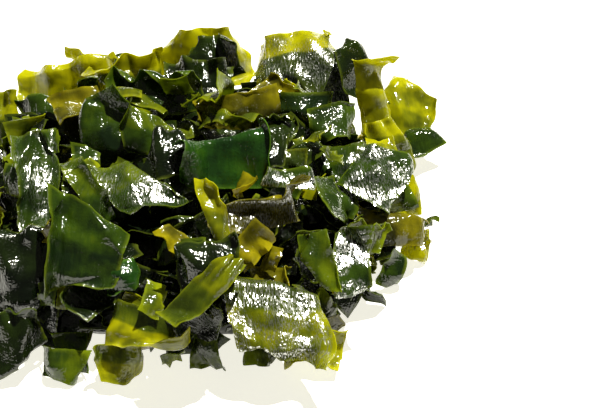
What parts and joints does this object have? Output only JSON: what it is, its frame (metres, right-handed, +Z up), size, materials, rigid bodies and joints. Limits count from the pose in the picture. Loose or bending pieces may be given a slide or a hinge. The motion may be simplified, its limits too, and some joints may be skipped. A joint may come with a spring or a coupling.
{
  "type": "wakame seaweed heap",
  "caption": "Low heap of soaked, cut wakame: thin wet blades with knife-cut edges, folded, curled and laid over one another, resting on a flat underside.",
  "frame": {"origin": "middle of the flat underside of the heap, on the surface that it lies on", "axes": "+Z up, -Y towards the side that the picture shows, +X to the right of that side"},
  "size_m": [0.2086, 0.1755, 0.0559],
  "materials": {
    "wet_green_blade": "wet, glossy and thin enough to glow yellow-green against the light",
    "wet_dark_blade": "wet and glossy, near black where pieces lie several deep"
  },
  "bodies": {
    "root": {"blade_arc_olive": "wet_green_blade", "blade_arch": "wet_green_blade", "blade_back_band": "wet_green_blade", "blade_back_long": "wet_green_blade", "blade_bracket": "wet_green_blade", "blade_bright_cut": "wet_green_blade", "blade_crest_wide": "wet_green_blade", "blade_crinkled": "wet_green_blade", "blade_crown": "wet_green_blade", "blade_crown_inner": "wet_green_blade", "blade_diagonal": "wet_green_blade", "blade_dotted": "wet_green_blade", "blade_facets": "wet_green_blade", "blade_far_curl": "wet_green_blade", "blade_flat_strip": "wet_green_blade", "blade_front_left": "wet_green_blade", "blade_front_roll": "wet_green_blade", "blade_front_sheet": "wet_green_blade", "blade_grey_crinkle": "wet_green_blade", "blade_hidden_01": "wet_green_blade", "blade_hidden_02": "wet_green_blade", "blade_hidden_03": "wet_green_blade", "blade_hidden_04": "wet_green_blade", "blade_hidden_05": "wet_green_blade", "blade_hidden_06": "wet_green_blade", "blade_hidden_07": "wet_green_blade", "blade_left_dark": "wet_green_blade", "blade_left_edge": "wet_green_blade", "blade_left_low": "wet_green_blade", "blade_left_tip": "wet_green_blade", "blade_lens": "wet_green_blade", "blade_olive_low": "wet_green_blade", "blade_origami": "wet_green_blade", "blade_pillow": "wet_green_blade", "blade_pointed": "wet_green_blade", "blade_ribbon": "wet_green_blade", "blade_right_band": "wet_green_blade", "blade_right_flap": "wet_green_blade", "blade_right_tip": "wet_green_blade", "blade_scroll": "wet_green_blade", "blade_shoulder": "wet_green_blade", "blade_slit": "wet_green_blade", "blade_sparkle_strip": "wet_green_blade", "blade_sparkle_top": "wet_green_blade", "blade_spoon": "wet_green_blade", "blade_spur": "wet_green_blade", "blade_square": "wet_green_blade", "blade_stole": "wet_green_blade", "blade_striped": "wet_green_blade", "blade_sweep_band": "wet_green_blade", "blade_sweep_leaf": "wet_green_blade", "blade_teal_cut": "wet_green_blade", "blade_tongue": "wet_green_blade", "blade_under_crest": "wet_green_blade", "blade_wavy_left": "wet_green_blade", "blade_wavy_right": "wet_green_blade", "blade_wedge": "wet_green_blade", "inner_tangle": "wet_dark_blade"}
  },
  "joints": []
}
